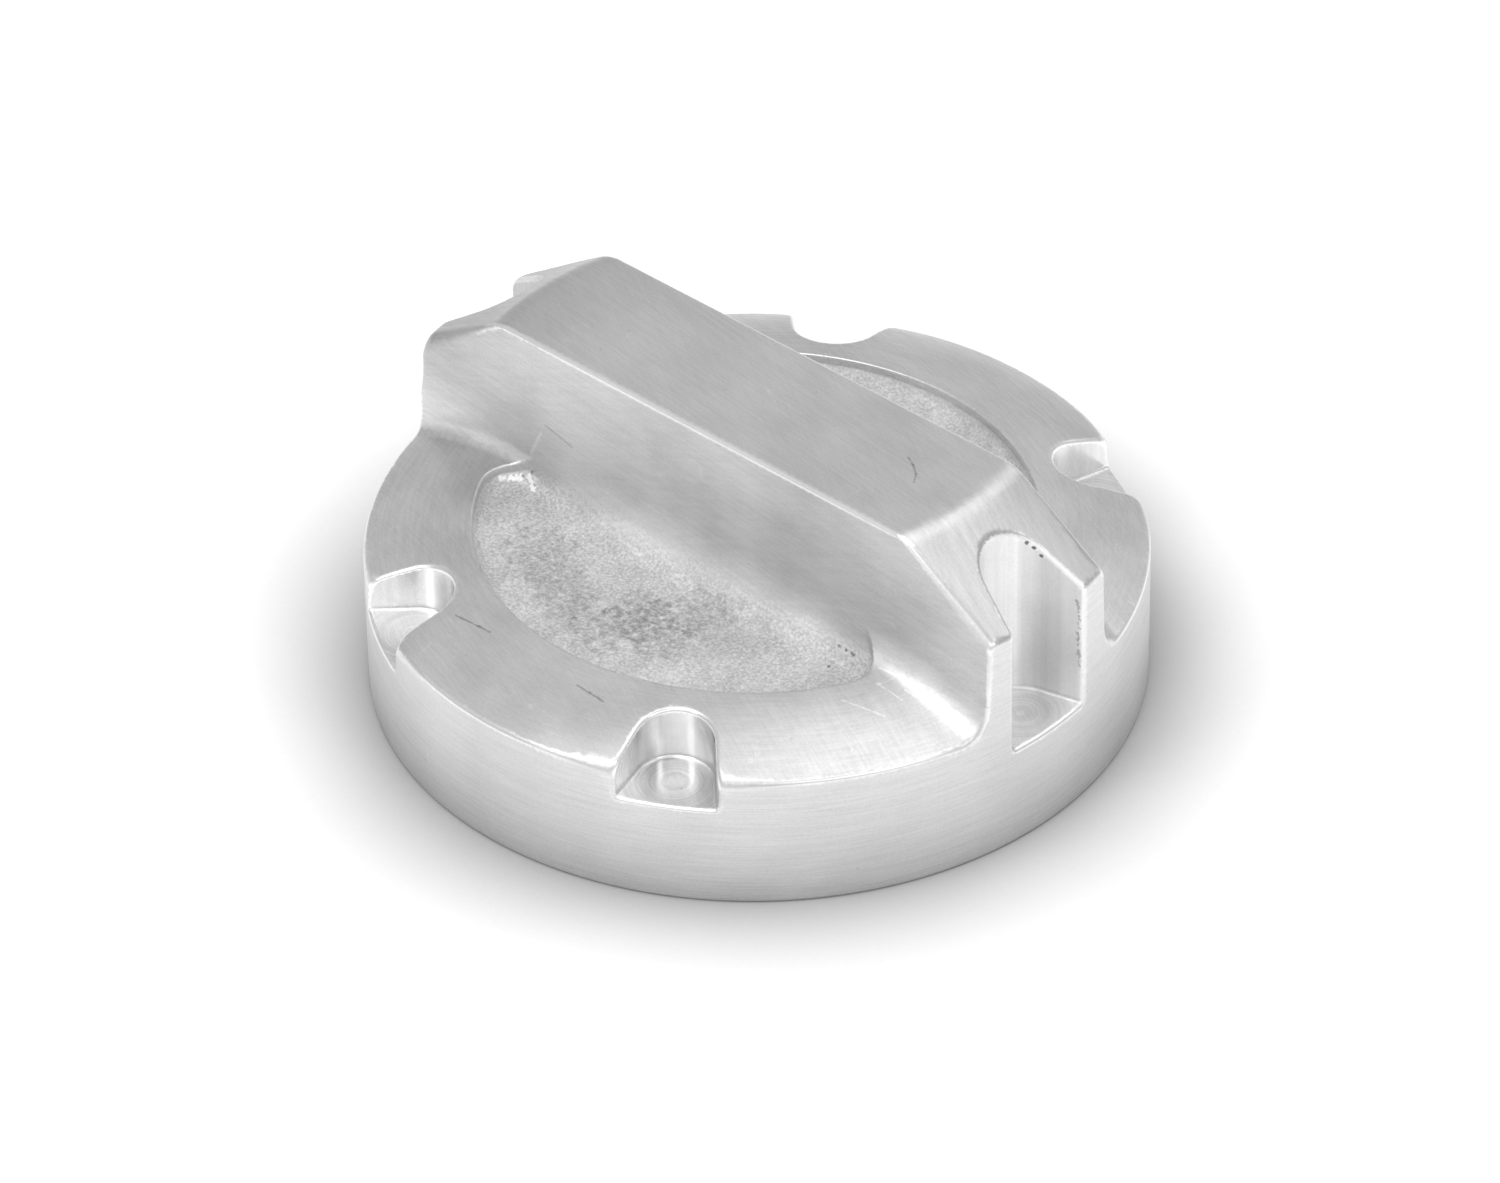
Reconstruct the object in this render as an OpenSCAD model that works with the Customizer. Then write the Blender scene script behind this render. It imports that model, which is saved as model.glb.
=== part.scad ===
// Screw cap for a power steering fluid reservoir, machined in one piece from aluminium bar.
// A cross bar on the crowned deck is turned by hand, and a seal ring sits over the neck's rim.
// Millimetres, +Z up. The origin is on the thread's axis, in the plane of the bottom rim,
// and the grip bar runs along X.

/* [Cap] */
// Outside diameter of the skirt
cap_d = 61; // [58:0.5:72]
// Height from the bottom rim to the top of the grip bar
cap_h = 25.4; // [22:0.2:32]
// Height of the deck at its flat middle
crown_h = 13.6; // [13.2:0.05:15]
// Radius of the deck's flat middle
crown_flat_r = 20; // [10:0.5:23]
// Height at which the crowned deck meets the side of the skirt
shoulder_h = 11.35; // [10.6:0.05:12.4]
// Rounding of the shoulder's edge
shoulder_round_r = 0.5; // [0.2:0.1:1]
// Chamfer round the foot of the skirt
foot_chamfer = 0.3; // [0.1:0.1:1.5]

/* [Grip bar] */
// Width across the bar's flat top
bar_w = 12.7; // [9:0.1:16]
// Length of the bar's flat top along its middle, between the turned ends
bar_flat_l = 43.7; // [30:0.1:50]
// Height to which the turned ends fall at the side of the cap
bar_end_h = 19.7; // [17:0.1:21.5]
// Lean of the bar's side walls, in degrees
bar_draft = 2; // [0.5:0.5:4]
// Rounding of the ridge between the flat top and each turned end
bar_ridge_r = 3; // [0.5:0.5:6]
// Rounding where a turned end meets the side of the cap
bar_tip_r = 1.3; // [0.3:0.1:2]
// Rounding of the long edges along the bar's top
bar_edge_r = 0.35; // [0.1:0.05:1]
// Fillet between the bar's walls and the deck
foot_fillet_r = 1.2; // [0.6:0.1:2]

/* [Finger notches] */
// Number of notches round the shoulder; two of them cut the ends of the bar
notch_count = 6; // [2:2:10]
// How far a notch reaches in from the side of the cap
notch_depth = 6; // [4:0.1:6.4]
// Radius of the notch's round back
notch_back_r = 3.1; // [2:0.1:3.6]
// Flare of each side of a notch, in degrees
notch_flare = 15.5; // [5:0.5:20]
// Height of the notch floors above the bottom rim
notch_floor_h = 8.75; // [7:0.05:10]

/* [Pockets beside the bar] */
// Radius of the round outer side of the pockets
pocket_r = 22; // [19:0.1:23]
// Height of the pocket floors above the bottom rim
pocket_floor_h = 12.15; // [11.9:0.05:13]
// Radius of the corners where the outer side meets the bar
pocket_corner_r = 2.7; // [1.5:0.1:4]
// Radius of the blend between the bar's wall and a pocket floor
pocket_blend_r = 4; // [2:0.1:5]

/* [Thread in the skirt] */
// Nominal diameter of the neck's thread
thread_d = 45; // [40:0.5:46]
// Pitch of the thread
thread_pitch = 2; // [1:0.25:3]
// Depth of the socket, from the bottom rim to its ceiling
socket_depth = 8.2; // [7:0.1:8.6]
// Length of the runout groove at the inner end of the thread
runout_l = 1.6; // [1:0.1:2.4]
// Radial clearance of the runout groove and the lead-in outside the thread's crests
thread_relief = 0.2; // [0.1:0.05:0.5]

/* [Seal ring] */
// Thickness of the ring's round section
seal_section = 2.62; // [1.8:0.01:3]
// Mean diameter of the ring
seal_d = 39; // [34:0.5:39.5]
// How far the ring stands out of its groove
seal_proud = 0.6; // [0.3:0.1:0.8]
// Clearance between the ring and the outer wall and ceiling of its groove
seal_fit = 0.05; // [0.02:0.01:0.15]
// Free width inside the ring, for its swell when squeezed
seal_room = 0.6; // [0.3:0.1:1]

/* [Hidden] */
$fn = 96;
// How far a blend runs past the faces it joins, so that surfaces cross and don't just touch
lap = 0.02;
// How far the foot fillets are sunk, because the deck also falls away from the bar's wall
foot_sunk = 0.05;
// How deep a fillet is rooted in the metal that it joins
root = 0.8;
// How far a cutting shape reaches past the metal it cuts
over = 2;

cap_r = cap_d / 2;
bar_half_w = bar_w / 2;
bar_flat_r = bar_flat_l / 2;
bar_slope = atan((cap_h - bar_end_h) / (cap_r - bar_flat_r));
bar_root_h = shoulder_h - 2 * shoulder_round_r;

// The deck falls along an arc from its flat middle to the shoulder
deck_fall = crown_h + lap - shoulder_h;
deck_run = cap_r - crown_flat_r;
deck_arc_r = (deck_run * deck_run + deck_fall * deck_fall) / (2 * deck_fall);
deck_arc_h = crown_h + lap - deck_arc_r;
shoulder_slope = asin(deck_run / deck_arc_r);

// The bore is the thread's minor diameter, where its crests stand
bore_r = (thread_d - 1.0825 * thread_pitch) / 2;
runout_r = thread_d / 2 + thread_relief;

groove_ceiling_h = socket_depth + seal_section - seal_proud;
groove_outer_r = (seal_d + seal_section) / 2 + seal_fit;
groove_inner_r = (seal_d - seal_section) / 2 - seal_room;

// Half width of the bar at a height, with the lean of its walls
function bar_half_at(h) = bar_half_w + (cap_h - h) * tan(bar_draft);

// Point at a distance from p in the direction of an angle
function along(p, angle, distance) = p + distance * [cos(angle), sin(angle)];

// The metal between a corner and a round of radius r that touches both of its edges.
// The edges leave corner p at angles a and b, with a the larger and under 180 degrees between.
// Taken away it rounds an outer corner, and added it fillets an inner one. The round is sunk
// a little through both edges, and the shape is rooted behind them.
module corner_fill(p, a, b, r, sunk = lap) {
    half = (a - b) / 2;
    middle = (a + b) / 2;
    touch_a = along(p, a, r / tan(half));
    touch_b = along(p, b, r / tan(half));
    difference() {
        polygon([
            along(p, middle, -root / sin(half)),
            along(touch_b, b - 90, root),
            touch_b,
            along(p, middle, r / sin(half)),
            touch_a,
            along(touch_a, a + 90, root)
        ]);
        translate(along(p, middle, (r - sunk) / sin(half)))
            circle(r);
    }
}

// Outline of half the turned blank, in radius and height
module blank_outline() {
    difference() {
        intersection() {
            polygon([
                [0, 0],
                [cap_r - foot_chamfer, 0],
                [cap_r, foot_chamfer],
                [cap_r, crown_h],
                [0, crown_h]
            ]);
            union() {
                square([crown_flat_r, crown_h]);
                translate([crown_flat_r, deck_arc_h])
                    circle(deck_arc_r);
            }
        }
        corner_fill([cap_r, shoulder_h], 270, 180 - shoulder_slope, shoulder_round_r);
    }
}

// Cross-section of the bar, in width and height
module bar_section() {
    foot = bar_half_at(bar_root_h);
    difference() {
        polygon([
            [-foot, bar_root_h],
            [foot, bar_root_h],
            [bar_half_w, cap_h],
            [-bar_half_w, cap_h]
        ]);
        for (side = [0, 1])
            mirror([side, 0])
                corner_fill([bar_half_w, cap_h], 270 + bar_draft, 180, bar_edge_r);
    }
}

// Outline of half the bar, in radius and height. Its ends are turned with the blank.
module bar_outline() {
    difference() {
        polygon([
            [0, bar_root_h],
            [cap_r, bar_root_h],
            [cap_r, bar_end_h],
            [bar_flat_r, cap_h],
            [0, cap_h]
        ]);
        corner_fill([bar_flat_r, cap_h], 360 - bar_slope, 180, bar_ridge_r);
        corner_fill([cap_r, bar_end_h], 270, 180 - bar_slope, bar_tip_r);
    }
}

// Stands an outline of width and height up, and draws it out along X by length l
module lengthwise(l) {
    rotate([90, 0, 90])
        linear_extrude(l, center = true)
            children();
}

// The bar, with ends that are flush with the side of the cap
module grip_bar() {
    intersection() {
        lengthwise(cap_d + over)
            bar_section();
        rotate_extrude()
            bar_outline();
    }
}

// Fillets along the foot of the bar, which follow the fall of the deck to the shoulder
module foot_fillets() {
    wall = bar_half_at(crown_h);
    toe = wall + foot_fillet_r;
    // The fillet's toe runs beside the axis, so it meets the deck's arc a little nearer to it
    arc_x = crown_flat_r - toe * toe / (cap_r + crown_flat_r);
    intersection() {
        cylinder(h = cap_h, r = cap_r);
        for (end = [0, 1], side = [0, 1])
            mirror([end, 0, 0])
                mirror([0, side, 0])
                    translate([arc_x, 0, deck_arc_h])
                        rotate([90, 0, 0])
                            mirror([0, 0, 1])
                                rotate_extrude(angle = 90, start = 45)
                                    corner_fill([deck_arc_r, wall], 90, 0, foot_fillet_r, foot_sunk);
    }
}

// Plan of the pocket on the +Y side: round outside, straight and open along the bar.
// Its round outside can be grown a little, and its corners with it.
module pocket_plan(grow) {
    wall = bar_half_at(pocket_floor_h + pocket_blend_r);
    round_y = wall + pocket_corner_r;
    reach = pocket_r - pocket_corner_r;
    round_x = sqrt(reach * reach - round_y * round_y);
    lean = atan(round_y / round_x);
    difference() {
        circle(pocket_r + grow);
        translate([-pocket_r - over, -pocket_r - over])
            square([2 * (pocket_r + over), pocket_r + over + wall - grow]);
        for (end = [0, 1])
            mirror([end, 0])
                difference() {
                    polygon([
                        [round_x, round_y],
                        [round_x, 0],
                        [pocket_r + over, 0],
                        along([0, 0], lean, pocket_r + over)
                    ]);
                    translate([round_x, round_y])
                        circle(pocket_corner_r + grow);
                }
    }
    translate([-round_x, wall - over])
        square([2 * round_x, over]);
}

// Both pockets, from height h up
module pockets_from(h, grow = 0) {
    for (side = [0, 1])
        mirror([0, side, 0])
            translate([0, 0, h])
                linear_extrude(cap_h - h)
                    pocket_plan(grow);
}

// The blends that sweep from the bar's walls down to the pocket floors
module pocket_blends() {
    foot = bar_half_at(pocket_floor_h);
    intersection() {
        lengthwise(2 * pocket_r)
            for (side = [0, 1])
                mirror([side, 0])
                    corner_fill([foot, pocket_floor_h], 90 + bar_draft, 0, pocket_blend_r);
        pockets_from(bar_root_h, lap);
    }
}

// Plan of one notch, which opens towards +X
module notch_plan() {
    round_x = cap_r - notch_depth + notch_back_r;
    touch = along([round_x, 0], 90 + notch_flare, notch_back_r);
    run = cap_r + over - touch.x;
    mouth = touch.y + run * tan(notch_flare);
    difference() {
        translate([cap_r - notch_depth, -mouth])
            square([notch_depth + over, 2 * mouth]);
        for (side = [0, 1])
            mirror([0, side])
                difference() {
                    polygon([
                        [cap_r - notch_depth - over, 0],
                        [round_x, 0],
                        touch,
                        [cap_r + over, mouth],
                        [cap_r + over, mouth + over],
                        [cap_r - notch_depth - over, mouth + over]
                    ]);
                    translate([round_x, 0])
                        circle(notch_back_r);
                }
    }
}

module notches() {
    for (i = [0:notch_count - 1])
        rotate(i * 360 / notch_count)
            translate([0, 0, notch_floor_h])
                linear_extrude(cap_h)
                    notch_plan();
}

// The threaded socket for the neck, with its lead-in, runout groove and seal groove
module neck_socket() {
    lead_in = runout_r - bore_r;
    rotate_extrude()
        polygon([
            [0, -over],
            [runout_r + over, -over],
            [runout_r, 0],
            [bore_r, lead_in],
            [bore_r, socket_depth - runout_l],
            [runout_r, socket_depth - runout_l + lead_in],
            [runout_r, socket_depth],
            [groove_outer_r, socket_depth],
            [groove_outer_r, groove_ceiling_h],
            [groove_inner_r, groove_ceiling_h],
            [groove_inner_r, socket_depth],
            [0, socket_depth]
        ]);
}

module cap_body() {
    color("silver")
        difference() {
            union() {
                difference() {
                    union() {
                        rotate_extrude()
                            blank_outline();
                        foot_fillets();
                    }
                    pockets_from(pocket_floor_h);
                }
                grip_bar();
                pocket_blends();
            }
            notches();
            neck_socket();
        }
}

module seal_ring() {
    color("dimgray")
        translate([0, 0, groove_ceiling_h - seal_fit - seal_section / 2])
            rotate_extrude()
                translate([seal_d / 2, 0])
                    circle(d = seal_section);
}

cap_body();
seal_ring();
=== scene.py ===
# Looks of a screw cap for a power steering reservoir. The cap's body is meshed anew from a
# distance function with its broken edges, its fillets and the thread inside its skirt, and the
# seal ring keeps its CAD shape. Shapes are worked out in millimetres and given to Blender in
# metres, in the frame of the CAD.

import math

import bpy
import numpy as np
from mathutils import Matrix, Vector


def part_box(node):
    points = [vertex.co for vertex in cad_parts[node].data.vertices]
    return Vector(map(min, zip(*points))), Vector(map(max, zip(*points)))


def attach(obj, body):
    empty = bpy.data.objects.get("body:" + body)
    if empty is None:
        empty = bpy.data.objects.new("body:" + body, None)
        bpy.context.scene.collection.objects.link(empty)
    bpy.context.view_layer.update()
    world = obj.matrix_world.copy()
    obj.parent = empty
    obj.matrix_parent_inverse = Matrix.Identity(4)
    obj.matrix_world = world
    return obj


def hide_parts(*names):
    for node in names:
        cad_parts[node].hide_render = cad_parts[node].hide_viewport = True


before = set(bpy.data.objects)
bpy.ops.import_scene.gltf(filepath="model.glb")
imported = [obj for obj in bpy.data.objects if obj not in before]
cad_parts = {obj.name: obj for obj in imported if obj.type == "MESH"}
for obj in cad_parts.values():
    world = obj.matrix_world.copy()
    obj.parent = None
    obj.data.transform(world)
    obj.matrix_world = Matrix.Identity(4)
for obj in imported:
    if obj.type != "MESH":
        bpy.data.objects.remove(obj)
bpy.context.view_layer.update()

MM = 0.001

# Sizes of the cap, in millimetres, as in the part's source
body_low, body_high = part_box("cap_body")
CAP_R = body_high.x / MM
CAP_H = body_high.z / MM
CROWN_H = 13.6
CROWN_FLAT_R = 20.0
SHOULDER_H = 11.35
BAR_HALF_W = 6.35
BAR_FLAT_R = 21.85
BAR_END_H = 19.7
BAR_DRAFT = math.radians(2)
NOTCH_COUNT = 6
NOTCH_DEPTH = 6.15
NOTCH_BACK_R = 3.1
NOTCH_FLARE = math.radians(15.5)
NOTCH_FLOOR_H = 8.75
POCKET_R = 22.0
POCKET_FLOOR_H = 12.15
POCKET_CORNER_R = 2.7
POCKET_BLEND_R = 4.0
THREAD_MAJOR_R = 22.5
THREAD_MINOR_R = 21.4175
THREAD_PITCH = 2.0
RUNOUT_L = 1.6
THREAD_RELIEF = 0.2
SOCKET_DEPTH = 8.2
GROOVE_CEILING_H = 10.22
GROOVE_OUTER_R = 20.86
GROOVE_INNER_R = 17.58

# Roundings of this cap's edges, in millimetres
FOOT_FILLET_R = 1.0
WIDE_FOOT_FILLET_R = 2.4
RIDGE_ROUND = 0.5
BAR_EDGE_ROUND = 0.32
BAR_TIP_WEAR = 0.35
FAR_TIP_WEAR = 1.1
RIM_ROUND = 0.22
BAR_END_ROUND = 0.3
FAR_END_ROUND = 0.9
POCKET_EDGE_ROUND = 0.15
POCKET_FLOOR_FILLET = 1.0
NOTCH_EDGE_ROUND = 0.32
RIM_WEAR_BY_NOTCH = 0.65
RIM_WEAR_REACH = 7.0
NOTCH_CORNER_WEAR = 0.35
NOTCH_FLOOR_FILLET = 0.3
BOTTOM_ROUND = 0.25
SOCKET_EDGE_ROUND = 0.12
# Length over which a pocket's blend runs out towards each corner
BLEND_RUNOUT = 8.0
# The notches were milled a little out of line with the bar
NOTCH_TURN = math.radians(-0.6)

# The camera's place in the photograph's view
CAMERA_AZIMUTH = math.radians(43.08)
CAMERA_ELEVATION = math.radians(36.79)
CAMERA_ROLL = math.radians(0.996)
CAMERA_DISTANCE = 671.0
CAMERA_AIM_H = 11.25
CAMERA_LENS = 207.88
SENSOR_WIDTH = 36.0
PHOTO_W = 1500
PHOTO_H = 1183
# Steps along each line of sight, and the share of the distance that each one goes
SIGHT_STEPS = 90
SIGHT_SHARE = 0.7
# How far the aim point lies right of and above the photograph's middle, in its pixels
AIM_RIGHT = 6.82
AIM_UP = 50.6


def camera_axes():
    """Place of the camera in millimetres, and the directions to its right, up and back."""
    flat = math.cos(CAMERA_ELEVATION)
    back = np.array([
        flat * math.sin(CAMERA_AZIMUTH),
        -flat * math.cos(CAMERA_AZIMUTH),
        math.sin(CAMERA_ELEVATION),
    ])
    level_right = np.array([math.cos(CAMERA_AZIMUTH), math.sin(CAMERA_AZIMUTH), 0.0])
    level_up = np.cross(back, level_right)
    cos_roll, sin_roll = math.cos(CAMERA_ROLL), math.sin(CAMERA_ROLL)
    right = cos_roll * level_right - sin_roll * level_up
    up = sin_roll * level_right + cos_roll * level_up
    place = CAMERA_DISTANCE * back + np.array([0.0, 0.0, CAMERA_AIM_H])
    return place, right, up, back


def make_camera():
    place, right, up, back = camera_axes()
    lens = bpy.data.cameras.new("photo_view")
    lens.lens = CAMERA_LENS
    lens.sensor_width = SENSOR_WIDTH
    lens.sensor_fit = "HORIZONTAL"
    lens.shift_x = -AIM_RIGHT / PHOTO_W
    lens.shift_y = -AIM_UP / PHOTO_W
    lens.clip_start = 0.01
    lens.clip_end = 20
    camera = bpy.data.objects.new("photo_view", lens)
    bpy.context.scene.collection.objects.link(camera)
    turn = Matrix([[right[i], up[i], back[i]] for i in range(3)]).to_4x4()
    camera.matrix_world = Matrix.Translation(Vector(place * MM)) @ turn
    bpy.context.scene.camera = camera


# The shape as a distance function: below zero in the metal, above zero in the air


def both(a, b, rounding):
    """Metal that lies in both of two solids, with the edge between them rounded."""
    corner = np.hypot(np.maximum(a + rounding, 0), np.maximum(b + rounding, 0))
    return np.minimum(-rounding, np.maximum(a, b)) + corner


def either(a, b, rounding):
    """Metal that lies in either of two solids, with a fillet between them."""
    return -both(-a, -b, rounding)


def ease(low, high, value):
    share = np.clip((value - low) / (high - low), 0, 1)
    return share * share * (3 - 2 * share)


def deck_distance(r, z):
    run = CAP_R - CROWN_FLAT_R
    fall = CROWN_H - SHOULDER_H
    arc_r = (run * run + fall * fall) / (2 * fall)
    arc = np.hypot(r - CROWN_FLAT_R, z - CROWN_H + arc_r) - arc_r
    return np.where(r < CROWN_FLAT_R, z - CROWN_H, arc)


# Where the bar's wall meets a pocket's blend, and the centre of a pocket's corner
POCKET_WALL_Y = BAR_HALF_W + (CAP_H - POCKET_FLOOR_H - POCKET_BLEND_R) * math.tan(BAR_DRAFT)
CORNER_Y = POCKET_WALL_Y + POCKET_CORNER_R
CORNER_X = math.sqrt((POCKET_R - POCKET_CORNER_R) ** 2 - CORNER_Y ** 2)


def pocket_plan(x, y):
    """Plan of both pockets, round outside and open along the bar."""
    along, away = np.abs(x), np.abs(y)
    behind_wall = POCKET_WALL_Y - POCKET_BLEND_R
    plain = np.maximum(np.hypot(x, y) - POCKET_R, behind_wall - away)
    in_corner = (along > CORNER_X) & (along * CORNER_Y > away * CORNER_X)
    corner = np.hypot(along - CORNER_X, away - CORNER_Y) - POCKET_CORNER_R
    return np.where(in_corner, corner, plain)


def notch_plan(x, y):
    """Plan of the nearest notch, and the distance from the middle of its round back."""
    share = 2 * math.pi / NOTCH_COUNT
    angle = np.arctan2(y, x) - NOTCH_TURN
    angle = angle - np.round(angle / share) * share
    r = np.hypot(x, y)
    out = r * np.cos(angle) - (CAP_R - NOTCH_DEPTH + NOTCH_BACK_R)
    off = np.abs(r * np.sin(angle))
    side = off * math.cos(NOTCH_FLARE) - out * math.sin(NOTCH_FLARE) - NOTCH_BACK_R
    past_back = out * math.cos(NOTCH_FLARE) + off * math.sin(NOTCH_FLARE) > 0
    reach = np.hypot(out, off)
    return np.where(past_back, side, reach - NOTCH_BACK_R), reach


def soft_greater(a, b, rounding):
    """The greater of two values, rounded over where they cross."""
    return (a + b + np.hypot(a - b, rounding)) / 2


def bore_radius(x, y, z):
    """Radius of the threaded bore, with a right-hand thread, its lead-in and its runout."""
    turn = (z / THREAD_PITCH - np.arctan2(y, x) / (2 * math.pi)) % 1.0
    across = np.abs(turn - 0.5) * 2
    crest, root, round_share = 0.25, 0.91, 0.12
    flank = (across - crest) / (root - crest)
    depth = -soft_greater(-soft_greater(flank, 0, round_share), -1, round_share)
    radius = THREAD_MINOR_R + (THREAD_MAJOR_R - THREAD_MINOR_R) * depth
    widest = THREAD_MAJOR_R + THREAD_RELIEF
    radius = soft_greater(radius, widest - np.abs(z), 0.15)
    past_thread = z - (SOCKET_DEPTH - RUNOUT_L)
    runout = np.minimum(widest, THREAD_MINOR_R + past_thread)
    return np.where(past_thread > 0, np.maximum(radius, runout), radius)


def surfaces(p):
    """Distances to each surface that bounds the cap, by name."""
    x, y, z = p[..., 0], p[..., 1], p[..., 2]
    r = np.hypot(x, y)
    fall = (CAP_H - BAR_END_H) / (CAP_R - BAR_FLAT_R)
    lean = math.tan(BAR_DRAFT)
    found = {
        "skirt": r - CAP_R,
        "deck": deck_distance(r, z),
        "wall": (np.abs(y) - BAR_HALF_W - (CAP_H - z) * lean) / math.hypot(1, lean),
        "bar_top": z - CAP_H,
        "bar_end": (z - CAP_H + (r - BAR_FLAT_R) * fall) / math.hypot(1, fall),
        "pocket_floor": z - POCKET_FLOOR_H,
        "pocket_side": pocket_plan(x, y),
        "notch_floor": NOTCH_FLOOR_H - z,
        "rim": -z,
    }
    found["notch_side"], found["notch_reach"] = notch_plan(x, y)
    thread_slope = 0.55
    bore = (r - bore_radius(x, y, z)) * thread_slope
    groove = np.maximum(np.maximum(r - GROOVE_OUTER_R, GROOVE_INNER_R - r), z - GROOVE_CEILING_H)
    found["socket"] = np.minimum(np.maximum(bore, z - SOCKET_DEPTH), groove)
    return found


def cap_distance(p):
    """Distance to the surface of the finished cap."""
    x, y, z = p[..., 0], p[..., 1], p[..., 2]
    s = surfaces(p)
    pocket = s["pocket_side"]
    # The bar's foot was blended wider towards +X
    foot = FOOT_FILLET_R + (WIDE_FOOT_FILLET_R - FOOT_FILLET_R) * ease(0, CORNER_X, x)
    beside_bar = either(s["deck"], s["wall"], foot)
    at_end = ease(CORNER_X - BLEND_RUNOUT, CORNER_X, np.abs(x))
    blend = POCKET_BLEND_R + (foot - POCKET_BLEND_R) * at_end
    in_pocket = either(s["pocket_floor"], s["wall"], blend)
    above_deck = ease(CROWN_H + 0.2, CROWN_H + 0.8, z)
    outside = both(beside_bar, -pocket, POCKET_EDGE_ROUND * (1 - above_deck))
    inside = np.maximum(in_pocket, np.minimum(pocket, beside_bar))
    above_floor = z - POCKET_FLOOR_H
    near_floor = (pocket < 0.5) & (above_floor < 1.25)
    filleted = either(outside, inside, POCKET_FLOOR_FILLET * (1 - ease(0.5, 1.25, above_floor)))
    ground = np.where(near_floor, filleted, np.minimum(outside, inside))
    ends = both(s["bar_top"], s["bar_end"], RIDGE_ROUND)
    # The end at -X was rounded more by hand than the other
    wear = np.where(x > 0, BAR_TIP_WEAR, FAR_TIP_WEAR) * ease(BAR_FLAT_R, CAP_R - 1, np.abs(x))
    raised = both(ground, ends, BAR_EDGE_ROUND + wear)
    tip_round = np.where(x > 0, BAR_END_ROUND, FAR_END_ROUND)
    end_round = RIM_ROUND + (tip_round - RIM_ROUND) * ease(CROWN_H + 0.4, CROWN_H + 3.4, z)
    clear_of_bar = ease(BAR_HALF_W, BAR_HALF_W + 2, np.abs(y)) * (z < CROWN_H + 0.5)
    by_notch = np.clip(1 - s["notch_side"] / RIM_WEAR_REACH, 0, 1) ** 2 * clear_of_bar
    end_round = end_round + RIM_WEAR_BY_NOTCH * by_notch
    turned = both(raised, s["skirt"], end_round)
    turned = both(turned, s["rim"], BOTTOM_ROUND)
    notch = both(s["notch_side"], s["notch_floor"], NOTCH_FLOOR_FILLET)
    corner = ease(CAP_R - 1.4, CAP_R, np.hypot(x, y)) * ease(NOTCH_FLOOR_H, SHOULDER_H, z)
    notch_edge = NOTCH_EDGE_ROUND + NOTCH_CORNER_WEAR * corner * clear_of_bar
    notched = both(turned, -notch, notch_edge)
    return both(notched, -s["socket"], SOCKET_EDGE_ROUND)


# Meshing of a distance function


def gradient(distance, p, reach=0.01):
    slope = np.empty_like(p)
    for i in range(3):
        aside = np.zeros(3)
        aside[i] = reach
        slope[:, i] = (distance(p + aside) - distance(p - aside)) / (2 * reach)
    return slope


def unit(v):
    return v / np.maximum(np.linalg.norm(v, axis=1), 1e-9)[:, None]


def onto_surface(distance, p, rounds=3, longest=0.4):
    """Moves points along the gradient until they lie on the surface."""
    for _ in range(rounds):
        slope = gradient(distance, p)
        squared = np.maximum((slope * slope).sum(1), 0.05)
        move = -slope * (distance(p) / squared)[:, None]
        length = np.maximum(np.linalg.norm(move, axis=1), 1e-9)
        p = p + move * np.minimum(1, longest / length)[:, None]
    return p


def grid_mesh(distance, low, high, step):
    """First coarse mesh: one point in each grid cell that the surface crosses, and two
    triangles round each grid edge that it crosses."""
    axes = [np.arange(a, b + step, step) for a, b in zip(low, high)]
    shape = [len(a) for a in axes]
    x, y = np.meshgrid(axes[0], axes[1], indexing="ij")
    value = np.stack([distance(np.stack([x, y, np.full_like(x, z)], -1)) for z in axes[2]], 2)
    solid = value < 0
    filled = np.zeros([n - 1 for n in shape], int)
    for i, j, k in np.ndindex(2, 2, 2):
        filled += solid[i:shape[0] - 1 + i, j:shape[1] - 1 + j, k:shape[2] - 1 + k]
    crossed = (filled > 0) & (filled < 8)
    cells = np.argwhere(crossed)
    number = -np.ones(crossed.shape, int)
    number[crossed] = np.arange(len(cells))
    total = np.zeros((len(cells), 3))
    hits = np.zeros(len(cells))
    for axis in range(3):
        first, second = [b for b in range(3) if b != axis]
        for i, j in np.ndindex(2, 2):
            start = cells.copy()
            start[:, first] += i
            start[:, second] += j
            end = start.copy()
            end[:, axis] += 1
            at_start, at_end = value[tuple(start.T)], value[tuple(end.T)]
            hit = (at_start < 0) != (at_end < 0)
            place = start[hit].astype(float)
            place[:, axis] += at_start[hit] / (at_start[hit] - at_end[hit])
            total[hit] += place
            hits[hit] += 1
    points = np.array(low) + total / hits[:, None] * step
    quads = []
    for axis in range(3):
        first, second = [b for b in range(3) if b != axis]
        here, there = [slice(None)] * 3, [slice(None)] * 3
        here[axis], there[axis] = slice(0, shape[axis] - 1), slice(1, shape[axis])
        edges = np.argwhere(solid[tuple(here)] != solid[tuple(there)])
        start_solid = solid[tuple(edges.T)]
        ring = []
        for i, j in ((-1, -1), (0, -1), (0, 0), (-1, 0)):
            cell = edges.copy()
            cell[:, first] += i
            cell[:, second] += j
            ring.append(number[tuple(cell.T)])
        quad = np.stack(ring, 1)
        keep = start_solid if axis != 1 else ~start_solid
        quad[~keep] = quad[~keep][:, ::-1]
        quads.append(quad)
    q = np.concatenate(quads)
    one = np.linalg.norm(points[q[:, 0]] - points[q[:, 2]], axis=1)
    other = np.linalg.norm(points[q[:, 1]] - points[q[:, 3]], axis=1)
    a, b = q[one <= other], q[one > other]
    halves = [a[:, [0, 1, 2]], a[:, [0, 2, 3]], b[:, [0, 1, 3]], b[:, [1, 2, 3]]]
    return points, np.concatenate(halves)


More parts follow.
